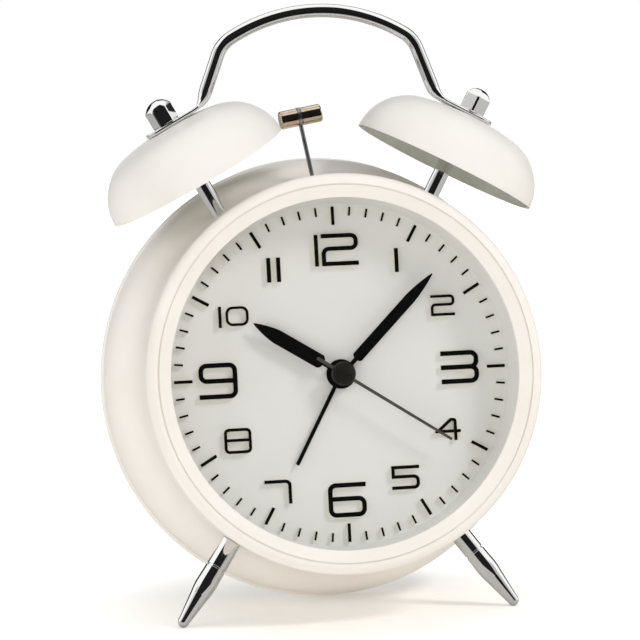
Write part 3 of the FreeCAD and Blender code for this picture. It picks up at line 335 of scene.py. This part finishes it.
finishes = {
    "enamel": bakedEnamel("whiteEnamel", enamel),
    "bellEnamel": bakedEnamel("bellEnamel", bellEnamel),
    "chrome": brightChrome(),
    "dial": dialWhite(),
    "ink": blackPaint("blackInk", ink),
    "satin": blackPaint("satinBlack", satin),
    "thin": blackPaint("thinHandPaint", thinHand),
    "glass": windowGlass(),
    "nickel": hammerNickel(),
    "steel": zincSteel(),
    "cover": moulded("coverPlastic", cover),
    "acetal": moulded("acetalPlastic", acetal),
    "black": moulded("blackPlastic", black),
    "cell": moulded("cellSleeve", sleeve),
    "lamp": moulded("lampEpoxy", epoxy),
    "marker": moulded("markerWhite", marker),
    "board": circuitGreen(),
    "copper": coilCopper(),
}

nodeFinish = {
    "enamel": ("case_shell", "cover_lugs", "bezel_ring"),
    "bellEnamel": ("left_bell", "right_bell"),
    "chrome": ("left_dome_nut", "right_dome_nut", "left_bell_post", "right_bell_post", "carry_handle",
               "left_foot", "right_foot"),
    "dial": ("dial_plate", "dial_surround"),
    "ink": ("numeral_faces", "marker_faces", "alarm_hand", "hour_hand", "minute_hand"),
    "satin": ("centre_cap",),
    "thin": ("second_hand",),
    "glass": ("dial_lens",),
    "nickel": ("hammer_head",),
    "steel": ("hammer_arm", "dial_retaining_ring", "post_lock_nuts", "foot_lock_nuts", "hammer_pivot_pin",
              "striker_bracket", "bracket_spacers", "bracket_screws", "striker_motor", "motor_shaft",
              "movement_screws", "rear_cover_screws", "battery_springs", "battery_tabs"),
    "cover": ("rear_cover", "battery_door", "time_set_knob", "alarm_set_knob", "light_button"),
    "acetal": ("hammer_rocker", "motor_cam", "second_arbor", "minute_arbor", "motion_wheel", "hour_wheel",
               "alarm_wheel"),
    "black": ("movement_front_case", "movement_back_case", "alarm_switch"),
    "cell": ("battery_cells",),
    "lamp": ("backlight_leds",),
    "marker": ("hour_numerals", "minute_markers"),
    "board": ("movement_circuit", "switch_boards"),
    "copper": ("stepper_coil",),
}

for finish, names in nodeFinish.items():
    for name in names:
        mesh = nodes[name].data
        mesh.materials.clear()
        mesh.materials.append(finishes[finish])
print("clock: finishes made")

# Bare nickel inside the bells, left unpainted and a little cloudy
bellInside = {"colour": (230, 231, 224), "dark": (210, 211, 204), "roughness": 0.5, "metal": 0.25}


def bareBell():
    f = Finish("bareBell")
    cloud = f.noise(70, 4, 0.6)
    fine = f.noise(2200, 2, 0.6)
    colour = f.mixColour(f.band(cloud, 0.35, 0.7), rgb(*bellInside["colour"]), rgb(*bellInside["dark"]))
    roughness = bellInside["roughness"] + (cloud - 0.5) * 0.2 + (fine - 0.5) * 0.1
    return f.surface(Base_Color=colour, Metallic=bellInside["metal"], Roughness=roughness,
                     Normal=f.bump(fine, 0.00001, 0.3))


def clearSelection():
    if bpy.context.mode != "OBJECT":
        bpy.ops.object.mode_set(mode="OBJECT")
    bpy.ops.object.select_all(action="DESELECT")


def ringStack(name, rings, sides, startPole=False, endPole=False):
    # a circle extruded ring by ring about z; rings are (radius, height) in mm
    clearSelection()
    radius, height = rings[0]
    bpy.ops.mesh.primitive_circle_add(vertices=sides, radius=radius / 1000, location=(0, 0, height / 1000))
    piece = bpy.context.active_object
    piece.name = name
    bpy.ops.object.transform_apply(location=True, rotation=True, scale=True)
    bpy.ops.object.mode_set(mode="EDIT")
    bpy.ops.mesh.select_all(action="SELECT")
    if startPole:
        addPole()
        bpy.ops.mesh.select_all(action="DESELECT")
        selectRing(piece, height / 1000, radius / 1000)
    for (r0, h0), (r1, h1) in zip(rings, rings[1:]):
        bpy.ops.mesh.extrude_region_move(TRANSFORM_OT_translate={"value": (0, 0, (h1 - h0) / 1000)})
        if abs(r1 - r0) > 1e-9:
            size = r1 / r0
            bpy.ops.transform.resize(value=(size, size, 1), center_override=(0, 0, h1 / 1000))
    if endPole:
        addPole()
    bpy.ops.mesh.select_all(action="SELECT")
    bpy.ops.mesh.remove_doubles(threshold=1e-7)
    bpy.ops.mesh.normals_make_consistent(inside=False)
    bpy.ops.object.mode_set(mode="OBJECT")
    return piece


def addPole():
    # closes the selected ring with triangles round a middle point
    bpy.ops.mesh.edge_face_add()
    bpy.ops.mesh.poke()


def selectRing(piece, height, radius):
    edit = bmesh.from_edit_mesh(piece.data)
    for vertex in edit.verts:
        across = math.hypot(vertex.co.x, vertex.co.y)
        vertex.select = abs(vertex.co.z - height) < 1e-7 and abs(across - radius) < 1e-6
    edit.select_flush(True)
    bmesh.update_edit_mesh(piece.data)


def smooth(piece, angle):
    clearSelection()
    piece.select_set(True)
    bpy.context.view_layer.objects.active = piece
    bpy.ops.object.shade_smooth_by_angle(angle=math.radians(angle))


def arcRings(centreR, centreH, radius, first, last, steps):
    # points of an arc, angles in degrees from the r axis
    made = []
    for k in range(steps + 1):
        a = math.radians(first + (last - first) * k / steps)
        made.append((centreR + radius * math.cos(a), centreH + radius * math.sin(a)))
    return made


def mirrorCopy(piece, name):
    # the left-hand twin, with its own mesh and its faces still outwards
    twin = piece.copy()
    twin.data = piece.data.copy()
    twin.name = name
    scene.collection.objects.link(twin)
    twin.data.transform(Matrix.Scale(-1, 4, (1, 0, 0)))
    twin.data.flip_normals()
    return twin


# Bells: pressed domes, enamelled outside, with a softly rounded lip
bell = {"radius": 25.7, "height": 15.2, "wall": 0.9, "crown": 72.0, "shoulder": 14.3, "hole": 1.8,
        "x": 33.6, "y": 5.3343, "z": 117.1547, "splay": 28.5, "overDrum": 51.6,
        "sides": 144, "crownSteps": 12, "shoulderSteps": 18, "lipSteps": 6, "smooth": 40}
bellPlace = Matrix.Translation((bell["x"] / 1000, bell["y"] / 1000, bell["z"] / 1000))
bellPlace = bellPlace @ Matrix.Rotation(math.radians(bell["splay"]), 4, "Y")
# middles of the two arcs in the bell's section; the crown's is on the axis
shoulderAcross = bell["radius"] - bell["shoulder"]
crownHeight = bell["height"] - bell["crown"]
shoulderHeight = crownHeight + math.sqrt((bell["crown"] - bell["shoulder"]) ** 2 - shoulderAcross ** 2)


def bellRings():
    def skin(inset):
        small, large = bell["shoulder"] - inset, bell["crown"] - inset
        meet = math.degrees(math.atan2(shoulderHeight - crownHeight, shoulderAcross))
        hole = math.degrees(math.acos(bell["hole"] / large))
        crown = arcRings(0, crownHeight, large, hole, meet, bell["crownSteps"])
        return crown + arcRings(shoulderAcross, shoulderHeight, small, meet, 0, bell["shoulderSteps"])[1:]

    outer, inner, half = skin(0), skin(bell["wall"]), bell["wall"] / 2
    lip = arcRings(bell["radius"] - half, half, half, 0, -180, bell["lipSteps"])
    return outer + lip + inner[::-1] + outer[:1]


def isBellInside(point):
    # nearer the inner wall than the outer one, measured in the bell's own section
    across, height = math.hypot(point.x, point.y) * 1000, point.z * 1000
    half, lip = bell["wall"] / 2, 0.1
    if height < shoulderHeight:
        return height > lip and across < bell["radius"] - half
    steep = (height - crownHeight) * shoulderAcross < across * (shoulderHeight - crownHeight)
    if steep:
        return math.hypot(across - shoulderAcross, height - shoulderHeight) < bell["shoulder"] - half
    return math.hypot(across, height - crownHeight) < bell["crown"] - half


rightBell = ringStack("rightBell", bellRings(), bell["sides"])
rightBell.data.materials.append(finishes["bellEnamel"])
rightBell.data.materials.append(bareBell())
outside = 0
for face in rightBell.data.polygons:
    inside = isBellInside(face.center)
    face.material_index = 1 if inside else 0
    outside += (1 if face.normal.dot(face.center) > 0 else -1) * (-1 if inside else 1)
if outside < 0:
    rightBell.data.flip_normals()
print("clock: bell faces that point outwards, less those that don't:", outside)
rightBell.data.transform(bellPlace)
smooth(rightBell, bell["smooth"])
leftBell = mirrorCopy(rightBell, "leftBell")
for piece, node in ((rightBell, "right_bell"), (leftBell, "left_bell")):
    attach(piece, "clock")
    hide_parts(node)
print("clock: bells made")

# Dome nuts: a hexagon whose six ridges run up over the shoulder and fade out before the tip
nut = {"flats": 6.8, "bottom": 16.3, "top": 23.1, "edge": 0.12, "chamfer": 0.3, "slope": 27, "ridge": 0.5,
       "tip": 86, "sides": 72, "steps": 14, "smooth": 16, "rightTurn": 20, "leftTurn": 5}


def domeNut(name, turn):
    corner = nut["flats"] / 2 / math.cos(math.radians(30))
    ball = corner / math.cos(math.radians(nut["slope"]))
    shoulder = nut["top"] - ball * (1 - math.sin(math.radians(nut["slope"])))
    rings = [(corner - nut["chamfer"], nut["bottom"]), (corner, nut["bottom"] + nut["chamfer"])]
    rings += arcRings(0, nut["top"] - ball, ball, nut["slope"], nut["tip"], nut["steps"])
    piece = ringStack(name, rings, nut["sides"], True, True)
    for vertex in piece.data.vertices:
        across = math.hypot(vertex.co.x, vertex.co.y) * 1000
        if across < 1e-6:
            continue
        beside = (math.degrees(math.atan2(vertex.co.y, vertex.co.x)) - turn) % 60 - 30
        flat = min(math.cos(math.radians(30)) / math.cos(math.radians(beside)), 1 - nut["edge"] / corner)
        # 0 on the hexagon, 1 at the tip, where the ridges have nearly faded out
        rise = max(0.0, vertex.co.z * 1000 - shoulder) / (nut["top"] - shoulder)
        size = flat + (1 - flat) * rise * (1 - nut["ridge"])
        vertex.co.x *= size
        vertex.co.y *= size
    piece.data.materials.append(finishes["chrome"])
    piece.data.transform(bellPlace)
    smooth(piece, nut["smooth"])
    return piece


rightNut = domeNut("rightDomeNut", nut["rightTurn"])
spareNut = domeNut("spareDomeNut", nut["leftTurn"])
leftNut = mirrorCopy(spareNut, "leftDomeNut")
bpy.data.meshes.remove(spareNut.data)
for piece, node in ((rightNut, "right_dome_nut"), (leftNut, "left_dome_nut")):
    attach(piece, "clock")
    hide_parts(node)
print("clock: dome nuts made")

# Handle: a bent rod whose ends are pressed flat, with rounded edges, and clamped under the dome nuts
handle = {"rod": 1.8, "archRadius": 45.0, "archHeight": 49.5, "archAngle": 31.5, "shoulder": 8.5, "leg": 69.4,
          "bend": 8.0, "tabHalf": 3.5, "tabThick": 0.54, "tabLift": 15.76, "tabEnd": 6.4, "sides": 48,
          "pressStart": -0.1, "pressEnd": 0.7, "pressPower": 1.4, "roundedTo": 80, "smooth": 40,
          "archSteps": 26, "shoulderSteps": 16, "legSteps": 8, "bendSteps": 20, "tabSteps": 6, "endSteps": 12}


def handlePath():
    # half the rod, from the top to the right tab: (x, z, slope in degrees, flattened 0 to 1, half width)
    def along(centre, radius, first, last, steps, sign=1):
        made = []
        for k in range(1, steps + 1):
            slope = first + (last - first) * k / steps
            a = math.radians(slope)
            x, z = centre[0] + sign * radius * math.sin(a), centre[1] + sign * radius * math.cos(a)
            made.append((x, z, slope))
        return made

    arch, splay = math.radians(handle["archAngle"]), math.radians(bell["splay"])
    steep, inner = math.radians(handle["leg"]), handle["archRadius"] - handle["shoulder"]
    arc = (handle["archRadius"], 0, handle["archAngle"], handle["archSteps"])
    top = along((0, handle["archHeight"]), *arc)
    shoulder = (inner * math.sin(arch), handle["archHeight"] + inner * math.cos(arch))
    arc = (handle["shoulder"], handle["archAngle"], handle["leg"], handle["shoulderSteps"])
    turned = along(shoulder, *arc)
    lift = handle["tabLift"]
    tab = Vector((bell["x"] + lift * math.sin(splay), bell["overDrum"] + lift * math.cos(splay)))
    legTop, legWay = Vector(turned[-1][:2]), Vector((math.cos(steep), -math.sin(steep)))
    tabWay = Vector((math.cos(splay), -math.sin(splay)))
    apart = tab - legTop
    cross = legWay.x * tabWay.y - legWay.y * tabWay.x
    corner = legTop + legWay * ((apart.x * tabWay.y - apart.y * tabWay.x) / cross)
    back = handle["bend"] * math.tan((steep - splay) / 2)
    start, end = corner - legWay * back, corner + tabWay * back
    middle = start + Vector((math.sin(steep), math.cos(steep))) * handle["bend"]
    rod = handle["rod"]
    path = [(x, z, slope, 0.0, rod) for x, z, slope in top + turned]
    for k in range(1, handle["legSteps"]):
        at = legTop.lerp(start, k / handle["legSteps"])
        path.append((at.x, at.y, handle["leg"], 0.0, rod))
    arc = (handle["bend"], handle["leg"], bell["splay"], handle["bendSteps"])
    for k, (x, z, slope) in enumerate(along(middle, *arc, -1)):
        share = (k + 1) / handle["bendSteps"] - handle["pressStart"]
        pressed = share / (handle["pressEnd"] - handle["pressStart"])
        pressed = max(0.0, min(1.0, pressed)) ** handle["pressPower"]
        path.append((x, z, slope, pressed, rod + (handle["tabHalf"] - rod) * pressed))
    tabRound = tab + tabWay * (handle["tabEnd"] - handle["tabHalf"])
    for k in range(1, handle["tabSteps"] + 1):
        at = end.lerp(tabRound, k / handle["tabSteps"])
        path.append((at.x, at.y, bell["splay"], 1.0, handle["tabHalf"]))
    for k in range(1, handle["endSteps"] + 1):
        a = math.radians(handle["roundedTo"] * k / handle["endSteps"])
        at = tabRound + tabWay * (handle["tabHalf"] * math.sin(a))
        path.append((at.x, at.y, bell["splay"], 1.0, handle["tabHalf"] * math.cos(a)))
    return path


def handleSection(pressed, halfWidth, index):
    # across and up: a full circle on the rod, pressed to a thin tab with round edges
    thick = handle["rod"] + (handle["tabThick"] - handle["rod"]) * pressed
    wide = max(halfWidth, thick)
    side = handle["sides"] // 4
    a = math.radians((index % side + 0.5) * 90 / side + 90 * (index // side))
    sign = 1 if math.cos(a) > 0 else -1
    return sign * (wide - thick) + thick * math.cos(a), thick * math.sin(a)


halfPath = handlePath()
topStation = (0.0, handle["archHeight"] + handle["archRadius"], 0.0, 0.0, handle["rod"])
mirrorPath = [(-x, z, -slope, pressed, wide) for x, z, slope, pressed, wide in halfPath[::-1]]
stations = mirrorPath + [topStation] + halfPath
# a straight tube first, one ring for each station, and then each ring goes to its station
tube = [(1.0, float(k)) for k in range(len(stations))]
carryHandle = ringStack("carryHandle", tube, handle["sides"], True, True)
for vertex in carryHandle.data.vertices:
    k = round(vertex.co.z * 1000)
    x, z, slope, pressed, wide = stations[k]
    index = round(math.degrees(math.atan2(vertex.co.y, vertex.co.x)) * handle["sides"] / 360) % handle["sides"]
    across, up = handleSection(pressed, wide, index)
    if math.hypot(vertex.co.x, vertex.co.y) < 1e-6:
        across, up = 0.0, 0.0
    a = math.radians(slope)
    upright = bell["z"] - bell["overDrum"] + z + up * math.cos(a)
    vertex.co = Vector((x + up * math.sin(a), bell["y"] + across, upright)) / 1000
carryHandle.data.materials.append(finishes["chrome"])
smooth(carryHandle, handle["smooth"])
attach(carryHandle, "clock")
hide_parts("carry_handle")
print("clock: handle made with", len(stations), "rings")

# Studio: pale floor that keeps the shadow, white beyond it, a soft key from the upper right
pureWhite = (1.0, 1.0, 1.0, 1.0)
noLight = (0.0, 0.0, 0.0, 1.0)
darkRoom = (0.012, 0.012, 0.013, 1.0)
studio = {
    "floorSize": 6.0,
    "floorColour": (0.86, 0.845, 0.81, 1.0),
    "floorMirrored": (0.62, 0.62, 0.62, 1.0),
    "floorNear": (0.2, 0.2, 0.2, 1.0),
    "bounceColour": (1.0, 0.98, 0.91, 1.0),
    "worldColour": (1.0, 0.995, 0.985, 1.0),
    "aim": (0, 0, 0.07),
    "floorFade": (0.02, 0.13),
    "wedge": 0.75,
    "wedgeEdge": (0.05, -0.02),
    "floorEnd": (0.12, 0.17),
    "floorBounce": 0.2,
    "mirrored": 1.12,
    "world": 0.47,
    "flagTurn": 9.5,
    "frontEdge": (0.68, 0.76),
    "frontFoot": (-0.72, -0.6),
    "frontTop": (0.9, 0.84),
    "rearEdge": (-0.52, -0.6),
    "rearEnd": (-0.96, -0.9),
    "rearTop": (0.74, 0.6),
    "rearOver": (0.2, 0.32),
    "sideEdge": (0.16, 0.3),
    "sideTop": (0.62, 0.48),
    "sideGrey": 0.5,
    "key": {"place": (1.0, -0.75, 1.25), "size": 0.45, "power": 10.4, "colour": (1.0, 0.99, 0.975)},
    "fill": {"place": (-0.45, -1.25, 0.25), "size": 0.9, "power": 3.3, "colour": (1.0, 0.99, 0.975)},
    "side": {"place": (-1.3, -0.4, 0.3), "size": 1.0, "power": 3.9, "colour": (1.0, 0.99, 0.98)},
    "top": {"place": (-0.5, 0.15, 1.3), "size": 0.9, "power": 1.2, "colour": (1.0, 1.0, 1.0)},
}


def lamp(name, values):
    data = bpy.data.lights.new(name, "AREA")
    data.shape = "DISK"
    data.size = values["size"]
    data.energy = values["power"]
    data.color = values["colour"]
    made = bpy.data.objects.new(name, data)
    scene.collection.objects.link(made)
    made.location = values["place"]
    aim = Vector(studio["aim"]) - made.location
    made.rotation_euler = aim.to_track_quat("-Z", "Y").to_euler()
    made.visible_glossy = False


for name in ("key", "fill", "side", "top"):
    lamp(name + "Lamp", studio[name])

world = bpy.data.worlds.new("studioWorld")
scene.world = world
sky = Nodes(world, "ShaderNodeOutputWorld")
way = sky.node("ShaderNodeTexCoord", {}, {}, "Generated")
split = sky.node("ShaderNodeSeparateXYZ", {}, {"Vector": way})
across, along, height = (Sock(sky, split.socket.node.outputs[axis]) for axis in "XYZ")
# Dark flags seen only in polished metal: one faces the dial, one stands behind, open low in its middle
bearing = across.maths("ARCTAN2", along * -1.0) + math.radians(studio["flagTurn"])
facing = bearing.maths("COSINE")
front = sky.band(facing, *studio["frontEdge"]) * sky.band(height, *studio["frontTop"])
behind = sky.band(facing, *studio["rearEnd"]) + sky.band(height, *studio["rearOver"])
rear = sky.band(facing, *studio["rearEdge"]) * behind.clamped() * sky.band(height, *studio["rearTop"])
# grey boards to the left and right
side = sky.band(facing, *studio["sideEdge"]) * sky.band(height, *studio["sideTop"])
flags = (front + rear + side * studio["sideGrey"]).clamped() * sky.band(height, *studio["frontFoot"])
mirrored = sky.mixColour(flags, pureWhite, darkRoom)
soft = sky.node("ShaderNodeBackground", {}, {"Color": studio["worldColour"], "Strength": studio["world"]})
polished = sky.node("ShaderNodeBackground", {}, {"Color": mirrored, "Strength": studio["mirrored"]})
plainWhite = sky.node("ShaderNodeBackground", {}, {"Color": pureWhite, "Strength": 1.0})
path = sky.node("ShaderNodeLightPath", {}, {})
rays = ("Is Camera Ray", "Is Glossy Ray", "Is Transmission Ray")
isCamera, isGlossy, isThrough = (Sock(sky, path.socket.node.outputs[ray]) for ray in rays)
first = sky.node("ShaderNodeMixShader", {}, {0: isGlossy, 1: soft, 2: polished})
sky.shows(sky.node("ShaderNodeMixShader", {}, {0: (isCamera + isThrough).clamped(), 1: first, 2: plainWhite}))

clearSelection()
bpy.ops.mesh.primitive_plane_add(size=studio["floorSize"], location=(0, 0, 0))
floor = bpy.context.active_object
floor.name = "floor"
floorFinish = Finish("paleFloor")
floorAt = floorFinish.place()
toFront = floorFinish.node("ShaderNodeSeparateXYZ", {}, {"Vector": floorAt}, "Y") * -1.0
toSide = floorFinish.node("ShaderNodeSeparateXYZ", {}, {"Vector": floorAt}, "X")
aside = (toSide + toFront * math.tan(math.radians(studio["flagTurn"]))).maths("ABSOLUTE")
inWedge = floorFinish.band(aside - toFront * studio["wedge"], *studio["wedgeEdge"])
polishedRay = floorFinish.node("ShaderNodeLightPath", {}, {}, "Is Glossy Ray")
# polished metal sees the dark room beyond the floor's front edge
dark = floorFinish.band(toFront, *studio["floorEnd"]) * inWedge * polishedRay
paler = floorFinish.mixColour(polishedRay, studio["floorColour"], studio["floorMirrored"])
floorColour = floorFinish.mixColour(dark, paler, darkRoom)
grey = floorFinish.node("ShaderNodeBsdfDiffuse", {}, {"Color": floorColour}, "BSDF")
bounced = floorFinish.mixColour(polishedRay, studio["bounceColour"], noLight)
# the sweep fades to plain white away from the clock, for the camera alone
level = {0: floorAt, 1: (1.0, 1.0, 0.0)}
flat = floorFinish.node("ShaderNodeVectorMath", {"operation": "MULTIPLY"}, level)
reach = floorFinish.node("ShaderNodeVectorMath", {"operation": "LENGTH"}, {0: flat}, "Value")
lifted = floorFinish.mixColour(floorFinish.band(reach, *studio["floorFade"]), studio["floorNear"], pureWhite)
glow = floorFinish.node("ShaderNodeEmission", {}, {"Color": lifted, "Strength": 1.0})
hidden = floorFinish.node("ShaderNodeEmission", {}, {"Color": bounced, "Strength": studio["floorBounce"]})
seenBy = floorFinish.node("ShaderNodeLightPath", {}, {}, "Is Camera Ray")
lift = floorFinish.node("ShaderNodeMixShader", {}, {0: seenBy, 1: hidden, 2: glow})
floorFinish.shows(floorFinish.node("ShaderNodeAddShader", {}, {0: grey, 1: lift}))
floor.data.materials.append(floorFinish.material)
print("clock: studio set")
